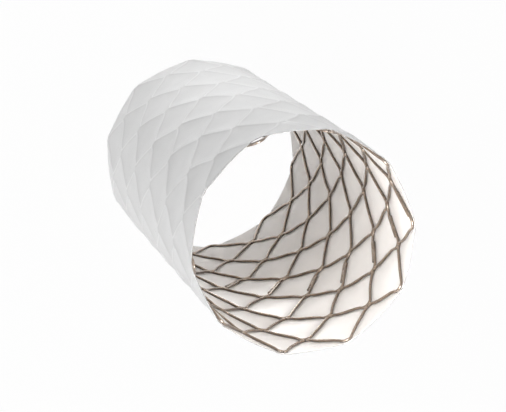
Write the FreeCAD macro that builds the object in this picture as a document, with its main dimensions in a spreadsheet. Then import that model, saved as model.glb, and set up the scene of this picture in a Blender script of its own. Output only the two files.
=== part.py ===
# Covered stent: a short tube of zigzag wire rings joined crown to crown, under a thin white
# polymer film that is stretched taut over the wires. It stands on its far end, axis along +Z.
import FreeCAD, Part
import math
import os

Vec = FreeCAD.Vector

# Driving dimensions in millimetres, kept in the sheet
DIMENSIONS = [
    ("ring_count", 11),
    ("zig_count", 10),
    ("ring_pitch", 5.1),
    ("lattice_radius", 13.6),
    ("wire_dia", 0.38),
    ("wire_sides", 8),
    ("ring_gap", 0.01),
    ("crown_flat", 0.95),
    ("lap_length", 3.3),
    ("lap_gap", 0.01),
    ("first_lap_turn", 216.0),
    ("film_wall", 0.18),
    ("film_gap", 0.02),
    ("film_rise_share", 0.62),
    ("panel_dip", 0.12),
    ("bead_length", 0.8),
    ("bead_end_taper", 0.12),
    ("bead_depth", 0.2),
    ("bead_gap", 0.01),
    ("lap_bead_length", 1.8),
]

doc = FreeCAD.newDocument("covered_stent")
sheet = doc.addObject("Spreadsheet::Sheet", "sizes")
for line, (alias, value) in enumerate(DIMENSIONS, start=1):
    sheet.set("A%d" % line, alias)
    sheet.set("B%d" % line, str(value))
    sheet.setAlias("B%d" % line, alias)
doc.recompute()


def size(alias):
    """Value of one cell of the sheet."""
    return float(sheet.get(alias))


rings = int(size("ring_count"))
zigs = int(size("zig_count"))
half_step = 180.0 / zigs
wire_radius = size("wire_dia") / 2
# Height of a crown's centreline above or below the row in which two rings meet
crown_rise = wire_radius + size("ring_gap") / 2
# Half of a crown's flat, as an angle about the axis
crown_angle = math.degrees(math.atan(size("crown_flat") / 2 / size("lattice_radius")))


def on_tube(radius, degrees, height):
    """Point at a radius, an angle about the axis and a height."""
    turn = math.radians(degrees)
    return Vec(radius * math.cos(turn), radius * math.sin(turn), height)


# Wire rings

def crown_points(index):
    """The two bends of one crown of a ring, even crowns at the bottom and odd ones at the top."""
    height = crown_rise if index % 2 == 0 else size("ring_pitch") - crown_rise
    radius = size("lattice_radius")
    return [on_tube(radius, index * half_step + side * crown_angle, height) for side in (-1, 1)]


def lap_frame():
    """Middle, direction and sideways direction of the strut on which a ring's two ends lap."""
    top = crown_points(-1)[1]
    bottom = crown_points(0)[0]
    along = (top - bottom).normalize()
    middle = (top + bottom) * 0.5
    outward = Vec(middle.x, middle.y, 0).normalize()
    return middle, along, outward.cross(along).normalize(), outward


def ring_path_points():
    """Bends of one open ring, from one cut end round the tube to the other, side by side."""
    middle, along, sideways, outward = lap_frame()
    aside = sideways * (wire_radius + size("lap_gap") / 2)
    reach = along * (size("lap_length") / 2)
    points = [middle + reach + aside, middle - reach + aside]
    for index in range(2 * zigs):
        points += crown_points(index)
    return points + [middle + reach - aside, middle - reach - aside]


def ring_placement(number):
    """Each ring is the first one lifted by a pitch and turned by half a zig."""
    lift = Vec(0, 0, (number - 1) * size("ring_pitch"))
    turn = size("first_lap_turn") + (number - 1) * half_step
    return FreeCAD.Placement(lift, FreeCAD.Rotation(Vec(0, 0, 1), turn))


def add_ring(number):
    """One ring: the wire's section, drawn with a few flats, swept along mitred bends."""
    label = "ring_%02d" % number
    place = ring_placement(number)
    points = [place.multVec(point) for point in ring_path_points()]
    path = doc.addObject("Part::Feature", label + "_path")
    path.Shape = Part.makePolygon(points)
    section = doc.addObject("Part::RegularPolygon", label + "_section")
    section.setExpression("Polygon", "sizes.wire_sides")
    section.setExpression("Circumradius", "sizes.wire_dia / 2")
    facing = FreeCAD.Rotation(Vec(0, 0, 1), points[1] - points[0])
    section.Placement = FreeCAD.Placement(points[0], facing)
    ring = doc.addObject("Part::Sweep", label)
    ring.Sections = [section]
    ring.Spine = (path, ["Edge%d" % (i + 1) for i in range(len(points) - 1)])
    ring.Solid = True
    ring.Frenet = False
    ring.Transition = "Right corner"
    ring.Label = label
    return ring


# Weld beads

def bead(length, middle, along, inward):
    """Wedge that fills the groove between two wires side by side, clear of both by bead_gap."""
    across = along.cross(inward).normalize()
    spread = (wire_radius + size("bead_gap")) * math.sqrt(2) - crown_rise
    root = middle + inward * spread
    face = middle + inward * size("bead_depth")
    half_face = size("bead_depth") - spread
    long_half = along * (length / 2)
    short_half = along * (length / 2 - size("bead_end_taper"))
    back = [root - long_half, root + long_half]
    low = [face - across * half_face + end for end in (short_half * -1, short_half)]
    high = [face + across * half_face + end for end in (short_half * -1, short_half)]
    loops = [
        [low[0], low[1], high[1], high[0]],
        [back[0], back[1], low[1], low[0]],
        [back[1], back[0], high[0], high[1]],
        [back[0], low[0], high[0]],
        [back[1], high[1], low[1]],
    ]
    return closed_solid(loops)


def closed_solid(loops, holed=()):
    """Solid inside flat faces given by their corners; holed faces have an outer and an inner loop."""
    faces = [Part.Face(Part.makePolygon(loop + loop[:1])) for loop in loops]
    for outer, inner in holed:
        wires = [Part.makePolygon(loop + loop[:1]) for loop in (outer, inner)]
        faces.append(Part.Face(wires, "Part::FaceMakerBullseye"))
    solid = Part.Solid(Part.Shell(faces))
    if solid.Volume < 0:
        solid.reverse()
    return solid


def add_shape(label, shape):
    """Sub-part whose shape comes from the functions here."""
    feature = doc.addObject("Part::Feature", label)
    feature.Shape = shape
    feature.Label = label
    return feature


def add_weld_row(row):
    """One bead at each place where a crown of the ring below meets one of the ring above."""
    beads = []
    for column in range(row % 2, 2 * zigs, 2):
        degrees = column * half_step
        chord = size("lattice_radius") * math.cos(math.radians(crown_angle))
        middle = on_tube(chord, degrees, row * size("ring_pitch"))
        inward = on_tube(-1, degrees, 0)
        beads.append(bead(size("bead_length"), middle, Vec(0, 0, 1).cross(inward), inward))
    return add_shape("weld_row_%02d" % row, Part.makeCompound(beads))


def add_lap_welds():
    """One bead in the middle of each ring's lap."""
    middle, along, sideways, outward = lap_frame()
    first = bead(size("lap_bead_length"), middle, along, outward * -1)
    beads = []
    for number in range(1, rings + 1):
        copy = first.copy()
        copy.Placement = ring_placement(number)
        beads.append(copy)
    return add_shape("lap_welds", Part.makeCompound(beads))


# Film cover

def film_corner(radius, column, row, side):
    """Corner of the film over one end of a crown's flat."""
    return on_tube(radius, column * half_step + side * crown_angle, row * size("ring_pitch"))


def film_panels(radius):
    """Flat facets of one skin of the film: each cell dips to its middle, end cells are flat."""
    middle_radius = radius * (1 + math.cos(math.radians(half_step))) / 2 - size("panel_dip")
    panels = []
    for row in range(rings + 1):
        for column in range((row + 1) % 2, 2 * zigs, 2):
            left = film_corner(radius, column - 1, row, 1)
            right = film_corner(radius, column + 1, row, -1)
            above = [film_corner(radius, column, row + 1, side) for side in (-1, 1)]
            below = [film_corner(radius, column, row - 1, side) for side in (1, -1)]
            if row == 0:
                panels.append([left] + above + [right])
            elif row == rings:
                panels.append([right] + below + [left])
            else:
                rim = [left] + above + [right] + below
                middle = on_tube(middle_radius, column * half_step, row * size("ring_pitch"))
                panels += [[rim[i - 1], rim[i], middle] for i in range(len(rim))]
    return panels


def film_edge(radius, row):
    """Corners of one skin at an end of the tube, straight from crown to crown."""
    columns = range(row % 2, 2 * zigs, 2)
    return [film_corner(radius, column, row, side) for column in columns for side in (-1, 1)]


def add_cover():
    """The film: one closed solid between an inner and an outer skin of facets."""
    inner = size("lattice_radius") + size("film_rise_share") * size("wire_dia") + size("film_gap")
    outer = inner + size("film_wall")
    skins = film_panels(outer) + film_panels(inner)
    ends = [(film_edge(outer, row), film_edge(inner, row)) for row in (0, rings)]
    return add_shape("cover", closed_solid(skins, ends))


# Assembly and files

parts = [add_cover()]
parts += [add_ring(number) for number in range(1, rings + 1)]
parts += [add_weld_row(row) for row in range(1, rings)]
parts.append(add_lap_welds())
doc.recompute()

for item in doc.Objects:
    if "Invalid" in item.State or "Error" in item.State:
        raise RuntimeError("%s did not recompute" % item.Label)
for item in parts:
    if item.Shape.isNull() or not item.Shape.isValid():
        raise RuntimeError("%s has no valid shape" % item.Label)

os.makedirs("parts", exist_ok=True)
for item in parts:
    item.Shape.exportStep("parts/%s.step" % item.Label)
    print(item.Label, len(item.Shape.Solids), "solids", round(item.Shape.Volume, 4), "mm3")
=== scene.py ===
# Covered stent: zigzag wire rings, their fused joints and the taut white film over them.
import math

import bmesh
import bpy
from mathutils import Matrix, Vector


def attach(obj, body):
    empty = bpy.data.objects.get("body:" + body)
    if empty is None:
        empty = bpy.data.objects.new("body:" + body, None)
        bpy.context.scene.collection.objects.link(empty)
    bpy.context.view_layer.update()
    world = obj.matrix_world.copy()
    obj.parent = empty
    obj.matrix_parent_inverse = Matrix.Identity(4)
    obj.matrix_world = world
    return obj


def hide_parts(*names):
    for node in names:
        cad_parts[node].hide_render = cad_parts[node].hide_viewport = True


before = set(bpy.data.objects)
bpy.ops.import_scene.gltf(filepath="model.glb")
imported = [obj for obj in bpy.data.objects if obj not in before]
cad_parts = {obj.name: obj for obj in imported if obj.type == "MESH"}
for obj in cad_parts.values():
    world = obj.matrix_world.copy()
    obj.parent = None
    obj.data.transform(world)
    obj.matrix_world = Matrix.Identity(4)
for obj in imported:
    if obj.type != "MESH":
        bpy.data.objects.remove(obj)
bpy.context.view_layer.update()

# Sizes in metres; angles in degrees
MM = 0.001
RINGS = 11
ZIGS = 10
PITCH = 5.1 * MM
LATTICE_RADIUS = 13.6 * MM
WIRE_DIA = 0.38 * MM
RING_GAP = 0.01 * MM
CROWN_FLAT = 0.95 * MM
BEND_RADIUS = 0.9 * MM
STEEP_ENDS = 0.24 * MM
BOW = 0.2 * MM
STRUT_SHARES = (0.18, 0.34, 0.5, 0.66, 0.82)
LAP_LENGTH = 3.3 * MM
LAP_GAP = 0.01 * MM
FIRST_LAP_TURN = 216.0
FILM_WALL = 0.07 * MM
FILM_GAP = 0.015 * MM
TENT_DROP = 0.2 * MM
TENT_REACH = 0.8 * MM
TENT_ROUNDING = 0.06 * MM
PANEL_BULGE = 0.5
END_BULGE = 0.75
BEAD_LENGTH = 1.0 * MM
BEAD_WIDTH = 0.34 * MM
BEAD_DEPTH = 0.2 * MM
BEAD_SEAT = 0.1 * MM
UNEVEN_ROUND = 0.42 * MM
UNEVEN_ALONG = 0.34 * MM
UNEVEN_CELL = 9.0 * MM
NOISE_GAIN = 4
CUT_MARGIN = 0.002 * MM
SUNK_CROWN = 1.1 * MM
SUNK_TURN = 165.0
SUNK_SPREAD = 34.0
BARE_CROWN = 0.8 * MM
BARE_TURN = 126.0
BARE_SPREAD = 24.0

WIRE_RADIUS = WIRE_DIA / 2
HALF_STEP = 180.0 / ZIGS
LENGTH = RINGS * PITCH
CROWN_RISE = WIRE_RADIUS + RING_GAP / 2
CROWN_ANGLE = math.degrees(math.atan(CROWN_FLAT / 2 / LATTICE_RADIUS))


# Node graphs

class Value:
    """A node socket that adds Math nodes when it is used in an expression."""

    def __init__(self, graph, socket):
        self.graph = graph
        self.socket = socket

    def maths(self, operation, *others):
        """One Math node on this socket and others."""
        inputs = dict(enumerate((self,) + others))
        return self.graph.value("ShaderNodeMath", inputs, operation=operation)

    def __add__(self, other):
        return self.maths("ADD", other)

    def __sub__(self, other):
        return self.maths("SUBTRACT", other)

    def __rsub__(self, other):
        return self.graph.value("ShaderNodeMath", {0: other, 1: self}, operation="SUBTRACT")

    def __mul__(self, other):
        return self.maths("MULTIPLY", other)

    def __truediv__(self, other):
        return self.maths("DIVIDE", other)



class Graph:
    """A node tree, filled by one method that takes a node's type, inputs and settings."""

    def __init__(self, tree):
        self.tree = tree

    def node(self, kind, inputs=None, stops=None, **settings):
        """Add a node. Stops are the places and colours of a colour ramp."""
        made = self.tree.nodes.new(kind)
        for name, setting in settings.items():
            setattr(made, name, setting)
        if stops:
            elements = made.color_ramp.elements
            while len(elements) < len(stops):
                elements.new(1.0)
            for element, (place, colour) in zip(elements, stops):
                element.position = place
                element.color = colour
        for name, given in (inputs or {}).items():
            if isinstance(given, Value):
                self.tree.links.new(given.socket, made.inputs[name])
            else:
                made.inputs[name].default_value = given
        return made

    def value(self, kind, inputs=None, output=0, **settings):
        """Add a node and take one of its outputs."""
        return Value(self, self.node(kind, inputs, **settings).outputs[output])


# Points on the tube

def on_tube(radius, degrees, height):
    """Point at a radius, an angle about the axis and a height."""
    turn = math.radians(degrees)
    return Vector((radius * math.cos(turn), radius * math.sin(turn), height))


def crown_points(index):
    """The two bends of one crown of a ring, even crowns at the bottom and odd ones at the top."""
    height = CROWN_RISE if index % 2 == 0 else PITCH - CROWN_RISE
    return [on_tube(LATTICE_RADIUS, index * HALF_STEP + side * CROWN_ANGLE, height) for side in (-1, 1)]


def strut_bend(share, leaning):
    """Shift round the tube of a strut that isn't quite straight, at a share of its height.

    Struts that lean one way are bent steeper at both ends, the others are a little bowed."""
    if leaning > 0:
        return -STEEP_ENDS * math.sin(2 * math.pi * share)
    return -BOW * math.sin(math.pi * share)


def strut_points(start, end):
    """Points along a strut between two crowns, without its ends."""
    angles = [math.atan2(point.y, point.x) for point in (start, end)]
    swing = (angles[1] - angles[0] + math.pi) % (2 * math.pi) - math.pi
    leaning = 1 if swing * (end.z - start.z) > 0 else -1
    points = []
    for share in STRUT_SHARES:
        chord = start.lerp(end, share)
        upward = (chord.z - CROWN_RISE) / (PITCH - 2 * CROWN_RISE)
        shift = strut_bend(upward, leaning) / LATTICE_RADIUS
        points.append(Matrix.Rotation(shift, 3, "Z") @ chord)
    return points


def lap_frame():
    """Middle of the strut on which a ring's two ends lap, with its own direction, sideways and outward."""
    top = crown_points(-1)[1]
    bottom = crown_points(0)[0]
    along = (top - bottom).normalized()
    middle = Matrix.Rotation(strut_bend(0.5, -1) / LATTICE_RADIUS, 3, "Z") @ ((top + bottom) / 2)
    outward = Vector((middle.x, middle.y, 0)).normalized()
    return middle, along, outward.cross(along).normalized(), outward


def ring_path():
    """Bends of one open ring, from one cut end round the tube to the other, side by side."""
    middle, along, sideways, outward = lap_frame()
    aside = sideways * (WIRE_RADIUS + LAP_GAP / 2)
    reach = along * (LAP_LENGTH / 2)
    points = [middle + reach + aside, middle - reach + aside] + crown_points(0)
    for index in range(1, 2 * ZIGS):
        crown = crown_points(index)
        points += strut_points(points[-1], crown[0]) + crown
    return points + [middle + reach - aside, middle - reach - aside]


def ring_turn(number):
    """Each ring is the first one lifted by a pitch and turned by half a zig."""
    turn = math.radians(FIRST_LAP_TURN + (number - 1) * HALF_STEP)
    return Matrix.Translation((0, 0, (number - 1) * PITCH)) @ Matrix.Rotation(turn, 4, "Z")


# Geometry node groups

def geometry_tree(name, sizes):
    """Empty tree with a geometry input and output, and one named input for each size."""
    tree = bpy.data.node_groups.new(name, "GeometryNodeTree")
    tree.interface.new_socket("Geometry", in_out="INPUT", socket_type="NodeSocketGeometry")
    for size, default in sizes.items():
        kind = "NodeSocketInt" if isinstance(default, int) else "NodeSocketFloat"
        tree.interface.new_socket(size, in_out="INPUT", socket_type=kind).default_value = default
    tree.interface.new_socket("Geometry", in_out="OUTPUT", socket_type="NodeSocketGeometry")
    graph = Graph(tree)
    entry = graph.node("NodeGroupInput")
    return graph, {socket.name: Value(graph, socket) for socket in entry.outputs if socket.name}


def hand_set(graph, geometry, bare=0.0):
    """Shift the geometry a little along and round the tube, as rings set by hand are uneven.

    At the near end one crown sits lower, while the film's cut edge stays where it is. For the film,
    bare is how far it dips at the next crown, which is left bare."""
    place = graph.value("GeometryNodeInputPosition")
    parts = graph.node("ShaderNodeSeparateXYZ", {0: place})
    x, y, z = [Value(graph, parts.outputs[axis]) for axis in range(3)]
    drift = graph.value("ShaderNodeTexNoise", {"Vector": place, "Scale": 1 / UNEVEN_CELL, "Detail": 0.0},
                        output="Color", noise_dimensions="3D")
    shifts = graph.node("ShaderNodeSeparateXYZ", {0: drift})
    round_tube = (Value(graph, shifts.outputs[0]) - 0.5) * (NOISE_GAIN * UNEVEN_ROUND)
    along = (Value(graph, shifts.outputs[1]) - 0.5) * (NOISE_GAIN * UNEVEN_ALONG)
    fade = (z * (LENGTH - z) / (PITCH * LENGTH)).maths("MINIMUM", 1.0).maths("MAXIMUM", 0.0)
    radius = (x * x + y * y).maths("SQRT")

    def nearness(degrees, spread):
        """1 at an angle about the axis, and 0 from spread degrees away."""
        facing = (x * math.cos(math.radians(degrees)) + y * math.sin(math.radians(degrees))) / radius
        least = math.cos(math.radians(spread))
        return ((facing - least) / (1 - least)).maths("MAXIMUM", 0.0)

    near_end = ((z - (LENGTH - PITCH)) / PITCH).maths("MAXIMUM", 0.0)
    below_cut = z.maths("LESS_THAN", LENGTH - CUT_MARGIN)
    sunk = nearness(SUNK_TURN, SUNK_SPREAD) * near_end * below_cut * SUNK_CROWN
    if bare:
        sunk = sunk + nearness(BARE_TURN, BARE_SPREAD) * near_end * near_end * bare
    offset = graph.value("ShaderNodeCombineXYZ", {0: y * round_tube / radius * -1.0,
                                                  1: x * round_tube / radius,
                                                  2: along * fade - sunk})
    return graph.value("GeometryNodeSetPosition", {"Geometry": geometry, "Offset": offset})


def finish_tree(graph, geometry, material):
    """End a tree: shading, real geometry, its material and the output."""
    shaded = graph.value("GeometryNodeSetShadeSmooth", {"Geometry": geometry, "Shade Smooth": True})
    real = graph.value("GeometryNodeRealizeInstances", {"Geometry": shaded})
    painted = graph.value("GeometryNodeSetMaterial", {"Geometry": real, "Material": material})
    graph.node("NodeGroupOutput", {"Geometry": painted})


def wire_tree(material):
    """A bent path becomes a round wire with rounded bends and cut ends."""
    sizes = {"Wire Diameter": WIRE_DIA, "Bend Radius": BEND_RADIUS, "Bend Steps": 5, "Wire Sides": 14}
    graph, given = geometry_tree("zigzag_wire", sizes)
    path = graph.value("GeometryNodeMeshToCurve", {"Mesh": given["Geometry"]})
    bent = graph.value("GeometryNodeFilletCurve", {"Curve": path, "Count": given["Bend Steps"],
                                                   "Radius": given["Bend Radius"], "Limit Radius": True},
                       mode="POLY")
    section = graph.value("GeometryNodeCurvePrimitiveCircle", {"Resolution": given["Wire Sides"],
                                                               "Radius": given["Wire Diameter"] / 2})
    wire = graph.value("GeometryNodeCurveToMesh", {"Curve": bent, "Profile Curve": section,
                                                   "Fill Caps": True})
    finish_tree(graph, mark_facing(graph, hand_set(graph, wire)), material)
    return graph.tree


def mark_facing(graph, geometry):
    """Keep how far each point of a wire faces outward from the tube; the wire's material paints shade and
    highlight from it.
    """
    place = graph.value("GeometryNodeInputPosition")
    outward = graph.value("ShaderNodeVectorMath", {0: place, 1: (1, 1, 0)}, operation="MULTIPLY")
    radial = graph.value("ShaderNodeVectorMath", {0: outward}, operation="NORMALIZE")
    normal = graph.value("GeometryNodeInputNormal")
    facing = graph.value("ShaderNodeVectorMath", {0: normal, 1: radial}, output="Value",
                         operation="DOT_PRODUCT")
    inputs = {"Geometry": geometry, "Name": "facing", "Value": facing}
    return graph.value("GeometryNodeStoreNamedAttribute", inputs, data_type="FLOAT", domain="POINT")


def weld_tree(material):
    """A small rounded bead on every point, turned to the point's place on the tube."""
    sizes = {"Bead Length": BEAD_LENGTH, "Bead Width": BEAD_WIDTH, "Bead Depth": BEAD_DEPTH}
    graph, given = geometry_tree("weld_beads", sizes)
    drop = graph.value("GeometryNodeMeshUVSphere", {"Segments": 10, "Rings": 6, "Radius": 0.5})
    scale = graph.value("ShaderNodeCombineXYZ", {0: given["Bead Depth"], 1: given["Bead Length"],
                                                 2: given["Bead Width"]})
    bead = graph.value("GeometryNodeTransform", {"Geometry": drop, "Scale": scale})
    turn = graph.value("GeometryNodeInputNamedAttribute", {"Name": "turn"}, data_type="FLOAT_VECTOR")
    beads = graph.value("GeometryNodeInstanceOnPoints", {"Points": given["Geometry"], "Instance": bead,
                                                         "Rotation": turn})
    real = graph.value("GeometryNodeRealizeInstances", {"Geometry": beads})
    finish_tree(graph, hand_set(graph, real), material)
    return graph.tree


def film_tree(material):
    """The film is shifted as the wires under it are, and dips at the bare crown."""
    graph, given = geometry_tree("film_set", {})
    finish_tree(graph, hand_set(graph, given["Geometry"], BARE_CROWN), material)
    return graph.tree


def piece_from(name, mesh, tree, slot, *nodes):
    """Run a tree on a mesh, keep the result as a plain mesh, and let it stand for CAD nodes."""
    draft = bpy.data.objects.new(name + "_draft", mesh)
    bpy.context.scene.collection.objects.link(draft)
    modifier = draft.modifiers.new("build", "NODES")
    modifier.node_group = tree
    graph = bpy.context.evaluated_depsgraph_get()
    result = bpy.data.meshes.new_from_object(draft.evaluated_get(graph), depsgraph=graph)
    bpy.data.objects.remove(draft)
    result.name = name
    piece = bpy.data.objects.new(name, result)
    bpy.context.scene.collection.objects.link(piece)
    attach(piece, "root")
    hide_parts(*nodes)
    return piece


# Wires and beads

def make_ring(number, tree):
    """One ring of wire."""
    points = [ring_turn(number) @ point for point in ring_path()]
    mesh = bpy.data.meshes.new("ring_path")
    mesh.from_pydata(points, [(i, i + 1) for i in range(len(points) - 1)], [])
    return piece_from("wire_ring_%02d" % number, mesh, tree, "wire", "ring_%02d" % number)


def bead_points(places):
    """Mesh of points, each with the turn of its bead."""
    mesh = bpy.data.meshes.new("bead_points")
    mesh.from_pydata([point for point, turn in places], [], [])
    turns = mesh.attributes.new("turn", "FLOAT_VECTOR", "POINT")
    for item, (point, turn) in zip(turns.data, places):
        item.vector = turn
    return mesh


def make_weld_row(row, tree):
    """Beads between the crowns of two rings."""
    places = []
    for column in range(row % 2, 2 * ZIGS, 2):
        degrees = column * HALF_STEP
        place = on_tube(LATTICE_RADIUS - BEAD_SEAT, degrees, row * PITCH)
        places.append((place, (0, 0, math.radians(degrees))))
    return piece_from("weld_beads_%02d" % row, bead_points(places), tree, "weld", "weld_row_%02d" % row)


def make_lap_welds(tree):
    """A bead in the middle of each lap, lying along its strut."""
    middle, along, sideways, outward = lap_frame()
    places = []
    for number in range(1, RINGS + 1):
        turn = ring_turn(number)
        x, y = (turn.to_3x3() @ vector for vector in (outward, along))
        axes = Matrix((x, y, x.cross(y))).transposed()
        places.append((turn @ (middle - outward * BEAD_SEAT), tuple(axes.to_euler())))
    return piece_from("lap_beads", bead_points(places), tree, "weld", "lap_welds")


# Film

def graded(steps, sharpness):
    """Numbers from -1 to 1, closer together towards both ends."""
    spots = [2 * i / steps - 1 for i in range(steps + 1)]
    return [math.copysign(1 - (1 - abs(spot)) ** sharpness, spot) for spot in spots]


def distance_to(point, start, end):
    """Distance from a point to a segment, in plan."""
    run = end - start
    share = max(0.0, min(1.0, (point - start).dot(run) / run.length_squared))
    return (point - start - run * share).length


def tent_drop(away, shelf):
    """How far the film has come down at a distance from the wire that holds it up."""
    beyond = max(0.0, away - shelf)
    rounded = math.hypot(beyond, TENT_ROUNDING) - TENT_ROUNDING
    return TENT_DROP * (1 - math.exp(-rounded / TENT_REACH))


# Places of the film's points across and up a cell, and how the film rests on crowns and laps
ACROSS = graded(steps=12, sharpness=1.9)
UPWARD = [(1 + spot) / 2 for spot in graded(steps=14, sharpness=1.5)]
STRUT_PARTS = 8
MERGE_GAP = 0.004 * MM
NODE_SHELF = 0.1 * MM
NODE_REACH = 0.9 * MM
LAP_SHELF = 0.2 * MM
# over_wire, which the film's material turns into painted highlight and painted shade, fades over this
# distance from a wire
WIRE_TOUCH_REACH = 0.28 * MM
LAP_FROM_END = 1.0 * MM
FILM_LAYERS = ("inner_side", "over_wire")


def half_cell(direction, at_end, lap_side):
    """Rows of film points over half a cell, from its waist to its tip.

    Each point has its place sideways, outward and upward, its drop, and how nearly it touches a
    wire, from 0 to 1. direction is 1 for the half above the waist and -1 for the one below.
    lap_side is -1 or 1 where the left or right strut carries a lap, and 0 elsewhere."""
    waist = on_tube(LATTICE_RADIUS, HALF_STEP - CROWN_ANGLE, 0)
    tip = on_tube(LATTICE_RADIUS, CROWN_ANGLE, PITCH)
    bulge = (LATTICE_RADIUS - waist.x) * (END_BULGE if at_end else PANEL_BULGE)

    def edge_place(side, up):
        """Point on the left or right strut, at a share of the way from waist to tip."""
        height = up if direction > 0 else 1 - up
        edge = waist.lerp(tip, up)
        shift = strut_bend(height, -side * direction) / LATTICE_RADIUS
        return Matrix.Rotation(shift, 3, "Z") @ Vector((edge.x, side * edge.y, edge.z))

    struts = {side: [edge_place(side, i / STRUT_PARTS).yz for i in range(STRUT_PARTS + 1)]
              for side in (-1, 1)}
    rows = []
    for up in UPWARD:
        left, right = edge_place(-1, up), edge_place(1, up)
        from_end = min(up, 1 - up) * PITCH
        row = []
        for share in ACROSS:
            place = left.lerp(right, (1 + share) / 2)
            plan = place.yz
            lift = bulge * (1 - share ** 2) * ((right.y - left.y) / (2 * waist.y)) ** 2
            away = {side: min(distance_to(plan, strut[i], strut[i + 1]) for i in range(STRUT_PARTS))
                    for side, strut in struts.items()}
            drops = [tent_drop(distance_to(plan, struts[-1][-1], struts[1][-1]), CROWN_RISE)]
            for side in struts:
                shelf = NODE_SHELF * math.exp(-from_end / NODE_REACH)
                if side == lap_side and from_end > LAP_FROM_END:
                    shelf = LAP_SHELF
                drops.append(tent_drop(away[side], shelf))
            touch = math.exp(-(min(away.values()) / WIRE_TOUCH_REACH) ** 2)
            row.append((plan.x, place.x + lift, plan.y, min(drops), touch))
        rows.append(row)
    return rows


def add_half_cell(mesh, column, row, direction, skins, lap_side):
    """Both skins of half a cell, above or below its waist, and the cut edge at a tube end."""
    at_end = row in (0, RINGS)
    turn = Matrix.Rotation(math.radians(column * HALF_STEP), 4, "Z")
    inner_side, over_wire = (mesh.verts.layers.float[name] for name in FILM_LAYERS)
    layers = []
    for rise in skins:
        layer = []
        for line in half_cell(direction, at_end, lap_side):
            points = []
            for sideways, outward, upward, drop, touch in line:
                point = turn @ Vector((outward, sideways, 0))
                point *= (point.length + rise - drop) / point.length
                point.z = row * PITCH + direction * upward
                points.append(mesh.verts.new(point))
                points[-1][inner_side] = float(rise < skins[0])
                points[-1][over_wire] = touch
            layer.append(points)
        layers.append(layer)
    for layer, flip in zip(layers, (False, True)):
        for low, high in zip(layer, layer[1:]):
            for i in range(len(low) - 1):
                loop = [low[i], low[i + 1], high[i + 1], high[i]]
                mesh.faces.new(loop if (direction > 0) != flip else loop[::-1])
    outer, inner = layers
    if at_end:
        add_cut_edge(mesh, outer[0], inner[0])
    elif row + direction in (0, RINGS):
        add_cut_edge(mesh, outer[-1], inner[-1])


def add_cut_edge(mesh, outer, inner):
    """Faces between the two skins where the film is cut."""
    for i in range(len(outer) - 1):
        face = mesh.faces.new([outer[i], outer[i + 1], inner[i + 1], inner[i]])
        # These cut faces are marked so that the film's material paints them with shade.
        face[mesh.faces.layers.float["cut"]] = 1.0


def film_mesh():
    """The whole film as one closed mesh of cells, with its layers for the finish."""
    under = WIRE_RADIUS + FILM_GAP
    skins = (under + FILM_WALL, under)
    lap_column = round(FIRST_LAP_TURN / HALF_STEP)
    mesh = bmesh.new()
    mesh.faces.layers.float.new("cut")
    for name in FILM_LAYERS:
        mesh.verts.layers.float.new(name)
    for row in range(RINGS + 1):
        for column in range((row + 1) % 2, 2 * ZIGS, 2):
            for direction in (1, -1):
                ring = row + 1 if direction > 0 else row
                if 1 <= ring <= RINGS:
                    foot = (lap_column + ring - 1) % (2 * ZIGS)
                    lap_at = (foot - 1) % (2 * ZIGS) if direction > 0 else foot
                    lap_side = direction if column == lap_at else 0
                    add_half_cell(mesh, column, row, direction, skins, lap_side)
    bmesh.ops.remove_doubles(mesh, verts=mesh.verts, dist=MERGE_GAP)
    bmesh.ops.recalc_face_normals(mesh, faces=mesh.faces)
    result = bpy.data.meshes.new("film")
    mesh.to_mesh(result)
    mesh.free()
    return result


# Materials

def new_material(name):
    """Material with a graph, its main shader and its object coordinates."""
    material = bpy.data.materials.new(name)
    material.use_nodes = True
    graph = Graph(material.node_tree)
    shader = material.node_tree.nodes["Principled BSDF"]
    place = graph.value("ShaderNodeTexCoord", output="Object")
    return material, graph, shader, place


def link(graph, value, socket):
    """Join a value to a socket of a node that is already there."""
    graph.tree.links.new(value.socket, socket)


def set_plain(shader, sockets):
    """Give a shader's sockets values that are the same all over."""
    for name, given in sockets.items():
        shader.inputs[name].default_value = given


def attribute(graph, name):
    """A number that the mesh carries."""
    return graph.value("ShaderNodeAttribute", output="Fac", attribute_name=name)


def noise(graph, place, scale, detail):
    """Noise with so many features to a metre."""
    return graph.value("ShaderNodeTexNoise", {"Vector": place, "Scale": scale, "Detail": detail})


def ramp(graph, value, *stops):
    """Colour from a ramp."""
    return graph.value("ShaderNodeValToRGB", {0: value}, output="Color", stops=stops)


def mixed(graph, factor, first, second):
    """Colour between two colours."""
    return graph.value("ShaderNodeMix", {"Factor": factor, 6: first, 7: second}, output=2, data_type="RGBA")


def ranged(value, low, high):
    """Low where the value is 0, and high where it is 1."""
    return value * (high - low) + low


def add_bump(graph, shader, height, strength, depth):
    """Fine relief on a shader."""
    bump = graph.value("ShaderNodeBump", {"Height": height, "Strength": strength, "Distance": depth})
    link(graph, bump, shader.inputs["Normal"])


# Colours, each as linear light
FILM_OUTSIDE = (0.3, (0.82, 0.82, 0.82, 1)), (0.7, (0.87, 0.87, 0.87, 1))
# The inner skin's warmer tint is painted warm light bounced off the brown wires.
FILM_INSIDE_BOUNCE_TINT = (0.3, (0.83, 0.80, 0.775, 1)), (0.7, (0.88, 0.852, 0.828, 1))
FILM_SHADED = (0.3, 0.29, 0.28, 1)
FILM_RIDGE_HIGHLIGHT = (0.98, 0.98, 0.98, 1)
WIRE_SHADE_AND_WEAR_COLOURS = ((0.0, (0.46, 0.345, 0.25, 1)), (0.22, (0.26, 0.185, 0.125, 1)),
                (0.45, (0.105, 0.072, 0.047, 1)))
BEAD_COLOURS = (0.3, (0.36, 0.28, 0.21, 1)), (0.7, (0.50, 0.40, 0.30, 1))
FLANK_SHADE = 0.2
PATCH_WEAR = 0.5
MARK_WEAR = 0.25


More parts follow.
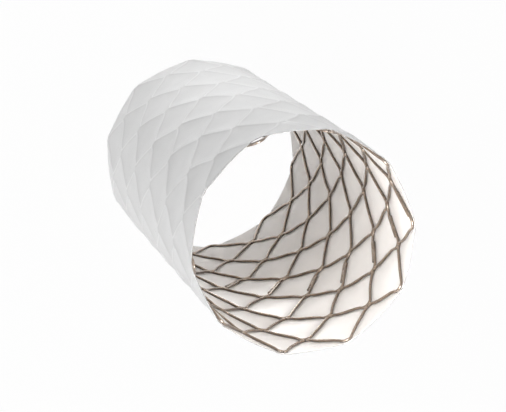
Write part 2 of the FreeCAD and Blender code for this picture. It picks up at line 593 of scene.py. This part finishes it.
def film_material():
    """White stretched polymer: matt, finely fibrous, with a painted highlight along the crests over the
    wires outside, painted shade beside them and on the cut edge, and an inner skin tinted warmer as painted
    light bounced off the brown wires.
    """
    material, graph, shader, place = new_material("film_white")
    set_plain(shader, {"Subsurface Weight": 0.3, "Subsurface Radius": (1.0, 1.0, 1.0),
                       "Subsurface Scale": 0.12 * MM})
    cloud = noise(graph, place, scale=260.0, detail=3.0)
    inside = attribute(graph, "inner_side")
    over_wire = attribute(graph, "over_wire")
    cut = attribute(graph, "cut")
    tint = mixed(graph, inside, ramp(graph, cloud, *FILM_OUTSIDE), ramp(graph, cloud, *FILM_INSIDE_BOUNCE_TINT))
    crest = over_wire * over_wire * over_wire * over_wire
    # Painted shade: the outer skin beside each crest and the whole cut edge are painted towards grey.
    flank = (over_wire - crest) * (1 - inside)
    shaded = mixed(graph, (flank * FLANK_SHADE).maths("MAXIMUM", cut), tint, FILM_SHADED)
    # Painted highlight: the outer skin is painted near white along the crest over each wire.
    painted_ridge_highlight = mixed(graph, crest * (1 - inside) * (1 - cut), shaded, FILM_RIDGE_HIGHLIGHT)
    link(graph, painted_ridge_highlight, shader.inputs["Base Color"])
    fibres = noise(graph, place, scale=9000.0, detail=2.0)
    link(graph, ranged(fibres, low=0.24, high=0.36), shader.inputs["Roughness"])
    add_bump(graph, shader, fibres, strength=0.12, depth=0.02 * MM)
    return material


def wire_material():
    """Drawn alloy wire, warm brown, with painted shade towards the film and a painted highlight towards the
    bore, where it is also smoother, plus random patches and marks of wear.
    """
    material, graph, shader, place = new_material("wire_brown")
    set_plain(shader, {"Metallic": 0.85, "Coat Weight": 1.0, "Coat Roughness": 0.06, "Coat IOR": 2.0})
    patches = noise(graph, place, scale=1500.0, detail=4.0)
    marks = noise(graph, place, scale=14000.0, detail=1.0)
    # Painted shade and highlight: the side of each wire towards the film is painted dark, the side towards
    # the bore light.
    outward = ranged(attribute(graph, "facing"), low=0.5, high=1.0)
    shade_and_wear = outward + (patches - 0.5) * PATCH_WEAR + (marks - 0.5) * MARK_WEAR
    link(graph, ramp(graph, shade_and_wear, *WIRE_SHADE_AND_WEAR_COLOURS), shader.inputs["Base Color"])
    link(graph, ranged(shade_and_wear, low=0.24, high=0.54), shader.inputs["Roughness"])
    add_bump(graph, shader, marks, strength=0.15, depth=0.01 * MM)
    return material


def weld_material():
    """Fused bead, lighter and warmer than the wire."""
    material, graph, shader, place = new_material("weld_beige")
    set_plain(shader, {"Metallic": 1.0})
    patches = noise(graph, place, scale=3000.0, detail=3.0)
    link(graph, ramp(graph, patches, *BEAD_COLOURS), shader.inputs["Base Color"])
    link(graph, ranged(patches, low=0.3, high=0.5), shader.inputs["Roughness"])
    return material


# Floor, light and camera

def white_to(graph):
    """1 for the rays that see the background itself, or see it in metal or glass, and else 0."""
    rays = graph.node("ShaderNodeLightPath")
    camera, glossy, through = [Value(graph, rays.outputs["Is %s Ray" % kind])
                               for kind in ("Camera", "Glossy", "Transmission")]
    return camera.maths("MAXIMUM", glossy).maths("MAXIMUM", through)


FLOOR_REACH = 1.5
FLOOR_WHITE = 0.97
WORLD_LIGHT = 0.1


def make_floor():
    """Plain white floor that the camera sees as white, with the object's shadow on it."""
    mesh = bpy.data.meshes.new("floor")
    corners = [(-1, -1), (1, -1), (1, 1), (-1, 1)]
    mesh.from_pydata([(x * FLOOR_REACH, y * FLOOR_REACH, 0) for x, y in corners], [], [(0, 1, 2, 3)])
    floor = bpy.data.objects.new("floor", mesh)
    bpy.context.scene.collection.objects.link(floor)
    material, graph, shader, place = new_material("floor_white")
    set_plain(shader, {"Base Color": (0.9, 0.9, 0.9, 1), "Roughness": 0.9})
    glow = graph.value("ShaderNodeEmission", {"Color": (1, 1, 1, 1), "Strength": 1.0})
    blend = graph.value("ShaderNodeMixShader", {0: white_to(graph) * FLOOR_WHITE,
                                                1: Value(graph, shader.outputs[0]), 2: glow})
    link(graph, blend, material.node_tree.nodes["Material Output"].inputs["Surface"])
    mesh.materials.append(material)


def make_world():
    """Even pale light all round, seen as white by the camera."""
    world = bpy.data.worlds.new("studio")
    bpy.context.scene.world = world
    world.use_nodes = True
    graph = Graph(world.node_tree)
    back = world.node_tree.nodes["Background"]
    link(graph, ranged(white_to(graph), low=WORLD_LIGHT, high=1.0), back.inputs["Strength"])
    set_plain(back, {"Color": (1, 1, 1, 1)})


# Name, place and aim in mm, width in mm, watts and spread in degrees of each soft lamp
LAMPS = [
    ("front", (-82.9, 114.3, 613.2), (0, 0, 30), 350, 0.12, 180),
    ("left", (-427.6, 30.2, 449.8), (0, 0, 30), 350, 0.8, 180),
    ("below", (-263.7, -464.7, 303.0), (0, 0, 30), 350, 1.5, 180),
    ("from_floor", (-5.4, 61.8, 4.0), (-1.2, 13.5, 50), 45, 0.034, 180),
    ("over_mouth", (0, 0, 86.1), (0, 0, 0), 20, 0.026, 180),
    ("far_mouth", (4.0, 6.9, 1.5), (-6.8, -11.8, 45), 10, 0.0002, 45),
]


def add_lamp(name, place, aim, width, watts, spread):
    """Square soft lamp at a place, facing a point."""
    lamp = bpy.data.lights.new(name, "AREA")
    lamp.size = width
    lamp.energy = watts
    lamp.spread = math.radians(spread)
    holder = bpy.data.objects.new(name, lamp)
    holder.location = place
    holder.rotation_euler = (aim - place).to_track_quat("-Z", "Y").to_euler()
    holder.visible_camera = False
    bpy.context.scene.collection.objects.link(holder)


CAMERA_PLACE = Vector((-75.494, 45.068, 293.232)) * MM
CAMERA_AIM = Vector((0.984, -1.428, 28.05)) * MM
CAMERA_ROLL = 130.87
CAMERA_LENS = 151.44
SENSOR_WIDTH = 36.0
CAMERA_NEAR = 0.01


def make_camera():
    """Camera that looks down into the near end, as the photograph does."""
    camera = bpy.data.cameras.new("camera")
    camera.lens = CAMERA_LENS
    camera.sensor_width = SENSOR_WIDTH
    camera.clip_start = CAMERA_NEAR
    holder = bpy.data.objects.new("camera", camera)
    facing = (CAMERA_AIM - CAMERA_PLACE).to_track_quat("-Z", "Y").to_matrix().to_4x4()
    roll = Matrix.Rotation(math.radians(CAMERA_ROLL), 4, "Z")
    holder.matrix_world = Matrix.Translation(CAMERA_PLACE) @ facing @ roll
    bpy.context.scene.collection.objects.link(holder)
    bpy.context.scene.camera = holder


# The object and its stage

rings_tree = wire_tree(wire_material())
beads_tree = weld_tree(weld_material())
for number in range(1, RINGS + 1):
    make_ring(number, rings_tree)
for row in range(1, RINGS):
    make_weld_row(row, beads_tree)
make_lap_welds(beads_tree)
piece_from("film_cover", film_mesh(), film_tree(film_material()), "film", "cover")
make_floor()
make_world()
for name, place, aim, width, watts, spread in LAMPS:
    add_lamp(name, Vector(place) * MM, Vector(aim) * MM, width * MM, watts, spread)
make_camera()
bpy.context.scene.view_settings.view_transform = "Standard"
